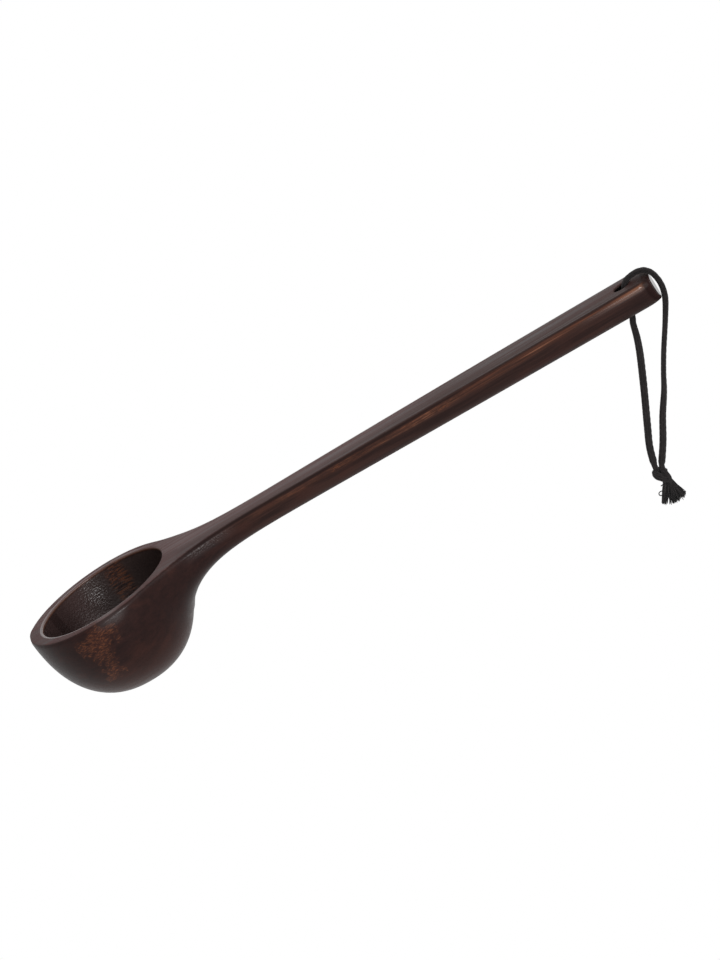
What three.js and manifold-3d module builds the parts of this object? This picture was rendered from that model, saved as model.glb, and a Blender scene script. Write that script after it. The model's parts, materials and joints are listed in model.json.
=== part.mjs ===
// Sauna ladle: a deep bowl and a handle milled from three glued boards, with a knotted cord loop.
//
// Millimetres. The ladle's own frame has x along the handle from the middle of the bowl's mouth,
// y across and z up from the flat top that the rim and the handle share. The ladle is pitched as
// a hand holds it, with its bowl low, so that the cord hangs along -z. The grip is the origin.
import * as THREE from 'three';
import { mergeVertices } from 'three/addons/utils/BufferGeometryUtils.js';
import Module from 'manifold-3d';

const wasm = await Module();
wasm.setup();

// How the ladle is held
const PITCH_DEGREES = 32.5;
const GRIP_AT = 245;

// Bowl: the outside's middle lies a little towards the nose, so the nose has the thickest wall
const BOWL_RADIUS = 47;
const BOWL_OFFSET = 1.4;
const BOWL_DEPTH = 56.7;
const BOWL_FULLNESS = 2.3;
const RIM_WALL = 7.2;
const BASE_WALL = 7.5;
const CAVITY_RADIUS = BOWL_RADIUS - RIM_WALL;
const CAVITY_DEPTH = BOWL_DEPTH - BASE_WALL;
const CAVITY_FULLNESS = 2.3;
const MOUTH_EASE = 0.8;

// Handle: narrowest at its waist, then wider and deeper towards its end, with a slight swell for the hand
const HANDLE_END = 352;
const WAIST_AT = 110;
const WAIST_HALF_WIDTH = 11.1;
const WAIST_DEPTH = 14.2;
const END_HALF_WIDTH = 13.5;
const GRIP_SWELL = 1.3;
const END_DEPTH = 16.6;
const HANDLE_FULLNESS = 3;
const EDGE_ROUND = 2.4;
const END_ROUND_LENGTH = 7;
const END_ROUND_DROP = 3.2;
const END_ROUND_RISE = 0.5;
const END_CORNER = 3;

// Neck: the handle flares into the bowl's back, across and downwards, and stays inside its outline
const NECK_INSET = 9;
const NECK_RISE = 21.5;
const NECK_LEAD = 6.6;
const FLARE_WIDTH = BOWL_RADIUS - NECK_INSET - WAIST_HALF_WIDTH;
const FLARE_WIDTH_AT = 16;
const FLARE_WIDTH_RUN = 36.8;
const FLARE_DEPTH = BOWL_DEPTH - NECK_RISE - WAIST_DEPTH;
const FLARE_DEPTH_AT = BOWL_RADIUS - BOWL_OFFSET - NECK_LEAD;
const FLARE_DEPTH_RUN = 16.1;
const NECK_FULLNESS = 2.3;
const NECK_START = 12;
const NECK_STATIONS_END = 96;
const CREASE_SOFTNESS = 1.6;

// Boards: the top one is planed down to the handle, and two others share the rest of the bowl
const PLANING_ALLOWANCE = 2.8;
const TOP_BOARD = END_DEPTH + PLANING_ALLOWANCE;
const LOWER_BOARD = (BOWL_DEPTH - TOP_BOARD) / 2;
const GLUE_LINE = 0.2;

// Hole for the cord, with eased mouths
const HOLE_RADIUS = 4.3;
const HOLE_FROM_END = 16;
const HOLE_EASE = 1.2;

// Cord
const CORD_DIAMETER = 3.4;
const CORD_SIDES = 8;

// The cord's route, across and up from the middle of the hole's upper mouth, in the handle's plane.
// The loop swings about the line through the two pivots, which lie just under the handle.
const INNER_PIVOT = [7.4, -20.2];
const OUTER_PIVOT = [24.5, -10.6];
const BIGHT_ROUTE = [
  [7.2, -18.1], [7, -16.7], [6.4, -14], [5.1, -10], [3.9, -6.1], [2.5, -2.2], [2.1, -0.4],
  [2.2, 1.6], [2.9, 3.6], [4.1, 5.3], [6.1, 7], [8.3, 8.5], [12, 9.5], [15.8, 8.4], [19.7, 4.8],
  [22.4, 0.3], [24, -5], [24.4, -8.5],
];
const INNER_LEG_ROUTE = [
  INNER_PIVOT, [9.6, -28], [11.7, -38.2], [13.7, -52], [15.4, -66], [17.1, -80], [18.5, -91], [21.6, -102.4],
];
const OUTER_LEG_ROUTE = [
  OUTER_PIVOT, [24.6, -21], [24.4, -37], [24.7, -48], [25.3, -58], [25.1, -72], [25.7, -88], [25.4, -102.4],
];
const TUBE_STEPS_PER_POINT = 3;

// Knot and frayed ends, placed from the same middle
const KNOT_AT = [25.8, -107.6];
const KNOT_HALF_HEIGHT = 4.7;
const KNOT_CORE_RADIUS = 3.7;
const KNOT_TURN_RADIUS = 3.7;
const KNOT_TURNS = [
  { up: 0.5, tiltDegrees: 24 },
  { up: -1.7, tiltDegrees: -16 },
];
const FRAY_LENGTH = 13;
const FRAY_STUB = 3.5;
const FRAY_TIP_RADIUS = 2.7;
const FRAY_ENDS = {
  cord_end_left: { from: [26, -112.9], leanDegrees: 10 },
  cord_end_right: { from: [29.7, -110.9], leanDegrees: 44 },
};

// Facets
const NOSE_STATIONS = 16;
const NECK_STATIONS = 34;
const HANDLE_STATIONS = 10;
const END_STATIONS = 6;
const NOSE_TIP_ANGLE = 0.06;
const SIDE_STEPS = 26;
const EDGE_STEPS = 3;
const ROUND_SEGMENTS = 56;
const HOLE_SEGMENTS = 24;
const PROFILE_STEPS = 14;
const CUT_MARGIN = 10;

// Materials: dark stained bamboo under a satin lacquer, and black cotton cord
const STAINED_BAMBOO = { color: 0x3d2b27, roughness: 0.38, metalness: 0 };
const BLACK_COTTON = { color: 0x17161a, roughness: 0.9, metalness: 0 };

const lerp = THREE.MathUtils.lerp;
const clamp = THREE.MathUtils.clamp;
const radians = THREE.MathUtils.degToRad;

// Solids and meshes
function toSolid(geometry) {
  const bare = geometry.clone();
  bare.deleteAttribute('normal');
  bare.deleteAttribute('uv');
  const merged = mergeVertices(bare, 1e-4);
  const vertProperties = new Float32Array(merged.getAttribute('position').array);
  const index = merged.getIndex().array;
  const triangles = [];
  for (let i = 0; i < index.length; i += 3) {
    const [a, b, c] = [index[i], index[i + 1], index[i + 2]];
    if (a !== b && b !== c && c !== a) triangles.push(a, b, c);
  }
  if (signedVolume(vertProperties, triangles) < 0) triangles.reverse();
  const triVerts = new Uint32Array(triangles);
  return new wasm.Manifold(new wasm.Mesh({ numProp: 3, vertProperties, triVerts }));
}

function signedVolume(points, triangles) {
  const corner = (i) => new THREE.Vector3().fromArray(points, 3 * i);
  let sum = 0;
  for (let i = 0; i < triangles.length; i += 3) {
    const normal = corner(triangles[i + 1]).cross(corner(triangles[i + 2]));
    sum += corner(triangles[i]).dot(normal) / 6;
  }
  return sum;
}

function toMesh(solid, name, look) {
  const { vertProperties, triVerts } = solid.getMesh();
  const geometry = new THREE.BufferGeometry();
  geometry.setAttribute('position', new THREE.BufferAttribute(vertProperties, 3));
  geometry.setIndex(new THREE.BufferAttribute(triVerts, 1));
  geometry.computeVertexNormals();
  const mesh = new THREE.Mesh(geometry, new THREE.MeshStandardMaterial(look));
  mesh.name = name;
  return mesh;
}

// A body turned about z from a profile of [radius, height] points that starts and ends on the axis
function turned(profile, segments) {
  const points = profile.map(([radius, height]) => new THREE.Vector2(radius, height));
  return new THREE.LatheGeometry(points, segments).rotateX(Math.PI / 2);
}

// Half width and depth of the bowl's outside at a station along the ladle
function bowlSection(x) {
  const along = Math.abs(x + BOWL_OFFSET) / BOWL_RADIUS;
  if (along >= 1) return null;
  const halfWidth = BOWL_RADIUS * Math.sqrt(1 - along ** 2);
  const depth = BOWL_DEPTH * (1 - along ** BOWL_FULLNESS) ** (1 / BOWL_FULLNESS);
  return { halfWidth, depth, fullness: BOWL_FULLNESS };
}

// Half width and depth of the handle and of its flare into the bowl
function handleSection(x) {
  if (x < NECK_START) return null;
  const along = (x - WAIST_AT) / (HANDLE_END - WAIST_AT);
  const wider = Math.exp(-(((x - FLARE_WIDTH_AT) / FLARE_WIDTH_RUN) ** 2));
  const deeper = Math.exp(-Math.max(0, x - FLARE_DEPTH_AT) / FLARE_DEPTH_RUN);
  const swell = 4 * GRIP_SWELL * Math.max(0, along) * (1 - along);
  const halfWidth = lerp(WAIST_HALF_WIDTH, END_HALF_WIDTH, along) + swell + FLARE_WIDTH * wider;
  const depth = lerp(WAIST_DEPTH, END_DEPTH, along) + FLARE_DEPTH * deeper;
  const fullness = lerp(HANDLE_FULLNESS, NECK_FULLNESS, deeper);
  return { halfWidth, depth, fullness };
}

// Distance from the middle of the flat top to the section's outline, in a direction below it
function reach(section, angle) {
  if (!section) return 0;
  const { halfWidth, depth, fullness } = section;
  const across = Math.abs(Math.cos(angle)) / halfWidth;
  const down = Math.abs(Math.sin(angle)) / depth;
  return (across ** fullness + down ** fullness) ** (-1 / fullness);
}

// The larger of two reaches, with a soft crease where they are alike
function softMax(a, b) {
  const gap = Math.abs(a - b) / CREASE_SOFTNESS;
  return Math.max(a, b) + CREASE_SOFTNESS * Math.log1p(Math.exp(-gap)) * Math.sign(a * b);
}

// How far the handle's end is rounded off at a station, from 0 to 1
function endRounding(x) {
  const along = clamp((x - HANDLE_END + END_ROUND_LENGTH) / END_ROUND_LENGTH, 0, 1);
  return 1 - Math.sqrt(1 - along ** 2);
}

// One closed outline across the ladle, from the flat top's far edge round the underside and back
function sectionOutline(x) {
  const rounding = endRounding(x);
  const top = -END_ROUND_DROP * rounding;
  const bowl = bowlSection(x);
  let handle = handleSection(x);
  if (handle) {
    handle = {
      halfWidth: handle.halfWidth - END_CORNER * rounding,
      depth: handle.depth - (END_ROUND_DROP + END_ROUND_RISE) * rounding,
      fullness: handle.fullness,
    };
  }
  const outline = (angle) => softMax(reach(bowl, angle), reach(handle, angle));
  const halfWidth = outline(0);
  const edge = Math.min(EDGE_ROUND, halfWidth / 4, outline(Math.PI / 2) / 4);
  const firstAngle = Math.atan2(edge, halfWidth);
  const side = outline(firstAngle) * Math.cos(firstAngle);
  const half = [];
  for (let i = 0; i < EDGE_STEPS; i += 1) {
    const turn = (Math.PI / 2) * (i / EDGE_STEPS);
    half.push([side - edge + edge * Math.sin(turn), top - edge + edge * Math.cos(turn)]);
  }
  const under = [];
  for (let i = 0; i <= SIDE_STEPS; i += 1) {
    const angle = lerp(firstAngle, Math.PI - firstAngle, i / SIDE_STEPS);
    under.push([outline(angle) * Math.cos(angle), top - outline(angle) * Math.sin(angle)]);
  }
  const mirrored = half.map(([y, z]) => [-y, z]).reverse();
  return [...half, ...under, ...mirrored].map(([y, z]) => [x, y, z]);
}

function stations() {
  const middle = -BOWL_OFFSET;
  const straightEnd = HANDLE_END - END_ROUND_LENGTH;
  const list = [];
  for (let i = 0; i < NOSE_STATIONS; i += 1) {
    const angle = lerp(NOSE_TIP_ANGLE, Math.PI / 2, i / NOSE_STATIONS);
    list.push(middle - BOWL_RADIUS * Math.cos(angle));
  }
  for (let i = 0; i < NECK_STATIONS; i += 1) {
    list.push(lerp(middle, NECK_STATIONS_END, i / NECK_STATIONS));
  }
  for (let i = 0; i < HANDLE_STATIONS; i += 1) {
    list.push(lerp(NECK_STATIONS_END, straightEnd, i / HANDLE_STATIONS));
  }
  for (let i = 0; i <= END_STATIONS; i += 1) {
    list.push(straightEnd + END_ROUND_LENGTH * Math.sin((Math.PI / 2) * (i / END_STATIONS)));
  }
  return list;
}

// The blank's outside: outlines joined along the ladle, closed by a fan at the nose and at the end
function ladleOutside() {
  const rings = stations().map(sectionOutline);
  const count = rings[0].length;
  const points = rings.flat();
  const triangles = [];
  for (let i = 0; i + 1 < rings.length; i += 1) {
    for (let j = 0; j < count; j += 1) {
      const next = (j + 1) % count;
      const [a, b] = [i * count + j, i * count + next];
      triangles.push(a, b, b + count, a, b + count, a + count);
    }
  }
  for (const ring of [0, rings.length - 1]) {
    const middle = rings[ring].reduce((sum, p) => sum.map((v, k) => v + p[k] / count), [0, 0, 0]);
    const hub = points.push(middle) - 1;
    for (let j = 0; j < count; j += 1) {
      const [a, b] = [ring * count + j, ring * count + ((j + 1) % count)];
      if (ring === 0) triangles.push(hub, b, a);
      else triangles.push(hub, a, b);
    }
  }
  const geometry = new THREE.BufferGeometry();
  geometry.setAttribute('position', new THREE.Float32BufferAttribute(points.flat(), 3));
  geometry.setIndex(triangles);
  return toSolid(geometry);
}

// The space for water: an egg-shaped turned hollow with an eased mouth
function bowlCavity() {
  const profile = [];
  for (let i = 0; i <= PROFILE_STEPS; i += 1) {
    const angle = (Math.PI / 2) * (i / PROFILE_STEPS);
    const power = 2 / CAVITY_FULLNESS;
    profile.push([CAVITY_RADIUS * Math.sin(angle) ** power, -CAVITY_DEPTH * Math.cos(angle) ** power]);
  }
  profile[0] = [0, -CAVITY_DEPTH];
  profile[PROFILE_STEPS] = [CAVITY_RADIUS, -MOUTH_EASE];
  const mouth = CAVITY_RADIUS + MOUTH_EASE;
  profile.push([mouth, 0], [mouth, CUT_MARGIN], [0, CUT_MARGIN]);
  return toSolid(turned(profile, ROUND_SEGMENTS));
}

function cordHole() {
  const at = HANDLE_END - HOLE_FROM_END;
  const { depth } = handleSection(at);
  const wide = HOLE_RADIUS + HOLE_EASE;
  const profile = [
    [0, -depth - CUT_MARGIN], [wide, -depth - CUT_MARGIN], [wide, -depth], [HOLE_RADIUS, HOLE_EASE - depth],
    [HOLE_RADIUS, -HOLE_EASE], [wide, 0], [wide, CUT_MARGIN], [0, CUT_MARGIN],
  ];
  return toSolid(turned(profile, HOLE_SEGMENTS).translate(at, 0, 0));
}

// The part of the blank that lies in one board
function boardSlice(blank, top, bottom) {
  const length = HANDLE_END + BOWL_RADIUS + BOWL_OFFSET + 2 * CUT_MARGIN;
  const width = 2 * (BOWL_RADIUS + CUT_MARGIN);
  const slab = new THREE.BoxGeometry(2 * length, width, top - bottom);
  slab.translate(0, 0, (top + bottom) / 2);
  return blank.intersect(toSolid(slab));
}

function makeBoards() {
  const blank = ladleOutside().subtract(bowlCavity()).subtract(cordHole());
  const half = GLUE_LINE / 2;
  const firstGlue = -TOP_BOARD;
  const secondGlue = -TOP_BOARD - LOWER_BOARD;
  const below = -BOWL_DEPTH - CUT_MARGIN;
  return [
    toMesh(boardSlice(blank, CUT_MARGIN, firstGlue + half), 'rim_and_handle_board', STAINED_BAMBOO),
    toMesh(boardSlice(blank, firstGlue - half, secondGlue + half), 'bowl_wall_board', STAINED_BAMBOO),
    toMesh(boardSlice(blank, secondGlue - half, below), 'bowl_base_board', STAINED_BAMBOO),
  ];
}

// A cord stretch through [across, up] points
function cordTube(route) {
  const curve = new THREE.CatmullRomCurve3(route.map(([across, up]) => new THREE.Vector3(across, 0, up)));
  const shape = new THREE.Shape();
  const turn = (2 * Math.PI) / CORD_SIDES;
  const ring = Array.from({ length: CORD_SIDES }, (_, i) => i * turn);
  shape.setFromPoints(ring.map((angle) => new THREE.Vector2(Math.cos(angle), Math.sin(angle))
    .multiplyScalar(CORD_DIAMETER / 2)));
  const steps = TUBE_STEPS_PER_POINT * (route.length - 1);
  return toSolid(new THREE.ExtrudeGeometry(shape, { steps, extrudePath: curve, bevelEnabled: false }));
}

// A hanging leg: its upper end is a ball on the swing's axis, so it turns clear of the bight
function cordLeg(route, name) {
  const [across, up] = route[0];
  const ball = new THREE.SphereGeometry(CORD_DIAMETER / 2, 2 * CORD_SIDES, CORD_SIDES);
  ball.translate(across, 0, up);
  return toMesh(cordTube(route).add(toSolid(ball)), name, BLACK_COTTON);
}

// The overhand knot: two tilted turns of cord drawn tight round the doubled cord
function cordKnot() {
  const profile = [];
  for (let i = 0; i <= PROFILE_STEPS; i += 1) {
    const angle = Math.PI * (i / PROFILE_STEPS);
    profile.push([KNOT_CORE_RADIUS * Math.sin(angle), -KNOT_HALF_HEIGHT * Math.cos(angle)]);
  }
  profile[0][0] = 0;
  profile[PROFILE_STEPS][0] = 0;
  let knot = toSolid(turned(profile, 2 * CORD_SIDES));
  for (const { up, tiltDegrees } of KNOT_TURNS) {
    const turn = new THREE.TorusGeometry(KNOT_TURN_RADIUS, CORD_DIAMETER / 2, CORD_SIDES, 3 * CORD_SIDES);
    turn.rotateY(radians(tiltDegrees)).translate(0, 0, up);
    knot = knot.add(toSolid(turn));
  }
  const mesh = toMesh(knot, 'cord_knot', BLACK_COTTON);
  mesh.position.set(KNOT_AT[0], 0, KNOT_AT[1]);
  return mesh;
}

// A frayed end: a short stub of cord that opens into a brush of loose yarn
function cordEnd(name, { from, leanDegrees }) {
  const radius = CORD_DIAMETER / 2;
  const profile = [
    [0, -FRAY_LENGTH], [FRAY_TIP_RADIUS, -FRAY_LENGTH + radius], [radius, -FRAY_STUB], [radius, 0], [0, 0],
  ];
  const mesh = toMesh(toSolid(turned(profile, 2 * CORD_SIDES)), name, BLACK_COTTON);
  mesh.position.set(from[0], 0, from[1]);
  mesh.rotation.y = -radians(leanDegrees);
  return mesh;
}

// The ladle, pitched about the middle of its grip
const ladle = new THREE.Group();
ladle.rotation.y = -radians(PITCH_DEGREES);
const grip = new THREE.Vector3(GRIP_AT, 0, -handleSection(GRIP_AT).depth / 2);
ladle.position.copy(grip.applyEuler(ladle.rotation).negate());
ladle.add(...makeBoards());

// The cord, placed from the middle of the hole's upper mouth
const cord = new THREE.Group();
ladle.updateMatrix();
cord.position.set(HANDLE_END - HOLE_FROM_END, 0, 0).applyMatrix4(ladle.matrix);
cord.add(
  toMesh(cordTube(BIGHT_ROUTE), 'cord_bight', BLACK_COTTON),
  cordLeg(INNER_LEG_ROUTE, 'cord_leg_inner'),
  cordLeg(OUTER_LEG_ROUTE, 'cord_leg_outer'),
  cordKnot(),
  ...Object.entries(FRAY_ENDS).map(([name, place]) => cordEnd(name, place)),
);

const saunaLadle = new THREE.Group();
saunaLadle.add(ladle, cord);

export default saunaLadle;
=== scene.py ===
"""Sauna ladle: stained bamboo boards glued into one blank, with a knotted black cord loop."""
import json
import logging
import math
from collections.abc import Iterator
from contextlib import contextmanager
from dataclasses import dataclass, field, replace
from enum import Enum
from functools import reduce

import bmesh
import bpy
import numpy as np
from mathutils import Euler, Matrix, Vector

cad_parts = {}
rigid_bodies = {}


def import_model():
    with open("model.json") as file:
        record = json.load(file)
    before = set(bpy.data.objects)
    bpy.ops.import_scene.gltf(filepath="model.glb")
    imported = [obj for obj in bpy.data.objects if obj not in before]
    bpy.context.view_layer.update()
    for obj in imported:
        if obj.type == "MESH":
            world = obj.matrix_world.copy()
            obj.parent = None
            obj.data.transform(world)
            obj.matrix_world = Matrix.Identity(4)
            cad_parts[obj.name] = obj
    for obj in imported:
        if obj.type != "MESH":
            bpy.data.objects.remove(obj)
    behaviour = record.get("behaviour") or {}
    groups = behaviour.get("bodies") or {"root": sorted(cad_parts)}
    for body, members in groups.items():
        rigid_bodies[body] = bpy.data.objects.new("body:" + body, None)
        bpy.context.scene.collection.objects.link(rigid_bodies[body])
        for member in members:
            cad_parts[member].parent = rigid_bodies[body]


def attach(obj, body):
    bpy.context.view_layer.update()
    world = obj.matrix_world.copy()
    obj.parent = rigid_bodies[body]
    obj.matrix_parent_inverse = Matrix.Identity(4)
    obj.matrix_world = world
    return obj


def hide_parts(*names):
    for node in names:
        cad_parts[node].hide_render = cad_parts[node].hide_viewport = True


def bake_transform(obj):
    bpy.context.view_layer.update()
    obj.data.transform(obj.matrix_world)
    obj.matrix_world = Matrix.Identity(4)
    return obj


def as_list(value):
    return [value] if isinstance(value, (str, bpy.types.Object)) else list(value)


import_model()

LOG = logging.getLogger("sauna_ladle")
MM = 0.001
QUARTER_TURN = math.pi / 2
FULL_TURN = 2 * math.pi
WELD_DISTANCE = 1e-6
LINE_STEPS = 40
NOISE_MIDDLE = 0.5
RIDGE = "ridge"
BLACK = (0.0, 0.0, 0.0, 1.0)
WHITE = (1.0, 1.0, 1.0, 1.0)

Colour = tuple[float, float, float, float]
Triple = tuple[float, float, float]
Spot = tuple[float, float]
Socket = bpy.types.NodeSocket
Value = Socket | float
Layer = tuple[Value, Colour]
Tube = tuple[np.ndarray, list[tuple[int, ...]], np.ndarray]


class Board(Enum):
    """The glued boards, named as the solids that they stand for."""

    RIM_AND_HANDLE = "rim_and_handle_board"
    BOWL_WALL = "bowl_wall_board"
    BOWL_BASE = "bowl_base_board"


class CordPiece(Enum):
    """The pieces that show the cord."""

    OVER_END = "cord_over_end"
    UNDER_HOLE = "cord_under_hole"
    KNOT = "overhand_knot"
    LEFT_FRAY = "frayed_end_left"
    RIGHT_FRAY = "frayed_end_right"


class Slot(Enum):
    """The record's material slots."""

    BAMBOO = "stained_bamboo"
    CORD = "black_cord"


class Body(Enum):
    """The moving bodies."""

    LADLE = "ladle"
    LOOP = "cord_loop"


def select_only(piece: bpy.types.Object) -> None:
    """Selects one piece and makes it the active one.

    Args:
        piece: The piece to work on.
    """
    for other in bpy.context.view_layer.objects:
        other.select_set(False)
    piece.select_set(True)
    bpy.context.view_layer.objects.active = piece


@contextmanager
def editing(piece: bpy.types.Object) -> Iterator[None]:
    """Works on one piece in edit mode.

    Args:
        piece: The piece whose mesh is edited.
    """
    select_only(piece)
    bpy.ops.object.mode_set(mode="EDIT")
    yield
    bpy.ops.object.mode_set(mode="OBJECT")


def face_outwards() -> None:
    """Turns every face of the mesh in edit mode outwards."""
    bpy.ops.mesh.select_all(action="SELECT")
    bpy.ops.mesh.normals_make_consistent(inside=False)


def named(name: str) -> bpy.types.Object:
    """Names the piece that an operator has just added.

    Args:
        name: The piece's name, which its mesh gets too.

    Returns:
        The piece.
    """
    piece = bpy.context.object
    piece.name = name
    piece.data.name = name
    return piece


def apply_modifier(piece: bpy.types.Object, kind: str, **settings: object) -> None:
    """Adds a modifier to a piece and applies it.

    Args:
        piece: The piece to change.
        kind: The modifier's type.
        settings: The modifier's own values.
    """
    select_only(piece)
    bpy.ops.object.modifier_add(type=kind)
    modifier = piece.modifiers[-1]
    for key, value in settings.items():
        setattr(modifier, key, value)
    bpy.ops.object.modifier_apply(modifier=modifier.name)


def discard(piece: bpy.types.Object) -> None:
    """Deletes a piece that was only needed to cut another."""
    bpy.data.meshes.remove(piece.data)


def lerp(a: float, b: float, share: float) -> float:
    """The value at a share of the way from a to b."""
    return a + (b - a) * share


def quarter_turn(steps: int) -> list[float]:
    """Angles over a quarter turn, from 0 to the whole quarter."""
    return [QUARTER_TURN * i / steps for i in range(steps + 1)]


def direction(elevation: float, azimuth: float) -> Vector:
    """The direction at degrees above the horizon and degrees to the right of the viewer's side."""
    e, a = math.radians(elevation), math.radians(azimuth)
    return Vector((math.sin(a) * math.cos(e), -math.cos(a) * math.cos(e), math.sin(e)))


@dataclass(frozen=True)
class Section:
    """Half width and depth of the ladle's outside below its flat top, and how square it is."""

    half_width: float
    depth: float
    fullness: float

    def reach(self, angle: float) -> float:
        """How far the outline lies from the middle of the flat top.

        Args:
            angle: The direction below the top, from 0 at one side to pi at the other.

        Returns:
            The distance in millimetres.
        """
        across = abs(math.cos(angle)) / self.half_width
        down = abs(math.sin(angle)) / self.depth
        return (across**self.fullness + down**self.fullness) ** (-1 / self.fullness)


@dataclass(frozen=True)
class Cavity:
    """The space for water: an egg shape below the bowl's mouth, in millimetres."""

    radius: float = 39.8
    depth: float = 49.2
    fullness: float = 2.3


@dataclass(frozen=True)
class Stance:
    """How the ladle is held: pitched about the middle of its grip, with its bowl low."""

    pitch_degrees: float = 32.5
    grip_at: float = 245.0
    grip_depth: float = 7.7694

    @property
    def turn(self) -> Euler:
        """The ladle's turn in the row frame."""
        return Euler((0.0, -math.radians(self.pitch_degrees), 0.0))

    @property
    def mouth(self) -> Vector:
        """The middle of the bowl's mouth in the row frame, in metres."""
        grip = Vector((self.grip_at, 0.0, -self.grip_depth)) * MM
        return -(self.turn.to_matrix() @ grip)

    @property
    def along(self) -> Vector:
        """The direction of the handle and of the grain in the row frame."""
        return self.turn.to_matrix() @ Vector((1.0, 0.0, 0.0))

    @property
    def matrix(self) -> Matrix:
        """From the ladle's own frame, in metres, to the row frame."""
        return Matrix.Translation(self.mouth) @ self.turn.to_matrix().to_4x4()

    def point(self, x: float, y: float, z: float) -> Vector:
        """A point of the ladle's own frame, in millimetres, in the row frame in metres."""
        return self.matrix @ (Vector((x, y, z)) * MM)


class Nodes:
    """A material's or world's node tree, with short ways to add and join nodes."""

    def __init__(self, tree: bpy.types.NodeTree) -> None:
        """Takes over a tree and empties it."""
        self.tree = tree
        tree.nodes.clear()

    def add(self, kind: str, inputs: dict | None = None, **settings: object) -> bpy.types.Node:
        """Adds a node.

        Args:
            kind: The node's type.
            inputs: Values or sockets for its inputs, by name or number.
            settings: The node's own values.

        Returns:
            The node.
        """
        node = self.tree.nodes.new(kind)
        for key, value in settings.items():
            setattr(node, key, value)
        for key, value in (inputs or {}).items():
            if isinstance(value, Socket):
                self.tree.links.new(value, node.inputs[key])
            else:
                node.inputs[key].default_value = value
        return node

    def math(self, operation: str, a: Value, b: Value = 0.0) -> Socket:
        """The result of an operation on one or two numbers."""
        return self.add("ShaderNodeMath", {0: a, 1: b}, operation=operation).outputs[0]

    def product(self, *factors: Value) -> Socket:
        """All the factors multiplied."""
        return reduce(lambda a, b: self.math("MULTIPLY", a, b), factors)

    def total(self, *parts: Value) -> Socket:
        """All the parts added."""
        return reduce(lambda a, b: self.math("ADD", a, b), parts)

    def highest(self, *values: Value) -> Socket:
        """The greatest of the values."""
        return reduce(lambda a, b: self.math("MAXIMUM", a, b), values)

    def opposite(self, share: Value) -> Socket:
        """What is left of 1 without a share."""
        return self.math("SUBTRACT", 1.0, share)

    def ramp(
        self, value: Value, low: float, high: float, to_low: float = 0.0, to_high: float = 1.0
    ) -> Socket:
        """A smooth step, from to_low where the value is low to to_high where it is high."""
        inputs = {"Value": value, "From Min": low, "From Max": high, "To Min": to_low, "To Max": to_high}
        return self.add("ShaderNodeMapRange", inputs, interpolation_type="SMOOTHSTEP").outputs[0]

    def window(self, value: Value, rise: Spot, fall: Spot) -> Socket:
        """1 between a smooth rise and a smooth fall, and 0 outside them."""
        return self.product(self.ramp(value, *rise), self.ramp(value, *fall))

    def mix(self, share: Value, a: Value, b: Value) -> Socket:
        """The number at a share of the way from a to b."""
        return self.add("ShaderNodeMix", {0: share, 2: a, 3: b}).outputs[0]

    def tint(self, share: Value, a: Socket | Colour, b: Socket | Colour) -> Socket:
        """The colour at a share of the way from a to b."""
        return self.add("ShaderNodeMix", {0: share, 6: a, 7: b}, data_type="RGBA").outputs[2]

    def laid(self, base: Socket, layers: list[Layer]) -> Socket:
        """A base colour with layers over it, each a share and a colour."""
        return reduce(lambda body, layer: self.tint(layer[0], body, layer[1]), layers, base)

    def length(self, vector: Socket) -> Socket:
        """A vector's length."""
        return self.add("ShaderNodeVectorMath", {0: vector}, operation="LENGTH").outputs["Value"]

    def flat_length(self, x: Socket, y: Socket) -> Socket:
        """The length of a flat vector."""
        return self.length(self.add("ShaderNodeCombineXYZ", {0: x, 1: y}).outputs[0])

    def moved(self, vector: Socket, by: Socket, amount: Triple) -> Socket:
        """Coordinates moved by another vector, times an amount along each axis."""
        inputs = {0: by, 1: amount, 2: vector}
        return self.add("ShaderNodeVectorMath", inputs, operation="MULTIPLY_ADD").outputs[0]

    def stretched(self, vector: Socket, scale: Triple) -> Socket:
        """Coordinates drawn out by a factor along each axis."""
        return self.add("ShaderNodeMapping", {"Vector": vector, "Scale": scale}).outputs[0]

    def noise_node(self, vector: Socket, scale: float, detail: float, roughness: float) -> bpy.types.Node:
        """Soft noise, with a number of finer layers and their strength."""
        inputs = {"Vector": vector, "Scale": scale, "Detail": detail, "Roughness": roughness}
        return self.add("ShaderNodeTexNoise", inputs)

    def noise(self, vector: Socket, scale: float, detail: float, roughness: float) -> Socket:
        """Soft noise between 0 and 1."""
        return self.noise_node(vector, scale, detail, roughness).outputs[0]

    def noise_vector(self, vector: Socket, scale: float, detail: float, roughness: float) -> Socket:
        """Three soft noises between 0 and 1, one for each axis."""
        return self.noise_node(vector, scale, detail, roughness).outputs["Color"]

    def grained(self, vector: Socket, scale: Triple, detail: float, roughness: float) -> Socket:
        """Soft noise between 0 and 1 that is drawn out along an axis."""
        return self.noise(self.stretched(vector, scale), 1.0, detail, roughness)

    def patch(self, vector: Socket, middle: Triple, size: Triple) -> Socket:
        """A soft egg-shaped patch, 1 in its middle and 0 outside.

        Args:
            vector: The coordinates' socket.
            middle: The patch's middle.
            size: The patch's half lengths.

        Returns:
            The patch's socket.
        """
        inputs = {"Vector": vector, "Location": middle, "Scale": size}
        inner = self.add("ShaderNodeMapping", inputs, vector_type="TEXTURE").outputs[0]
        return self.ramp(self.length(inner), 0.25, 1.0, 1.0, 0.0)


def new_material(name: str) -> tuple[bpy.types.Material, Nodes]:
    """Makes a material.

    Args:
        name: The material's name.

    Returns:
        The material and its empty node tree.
    """
    material = bpy.data.materials.new(name)
    material.use_nodes = True
    return material, Nodes(material.node_tree)


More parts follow.
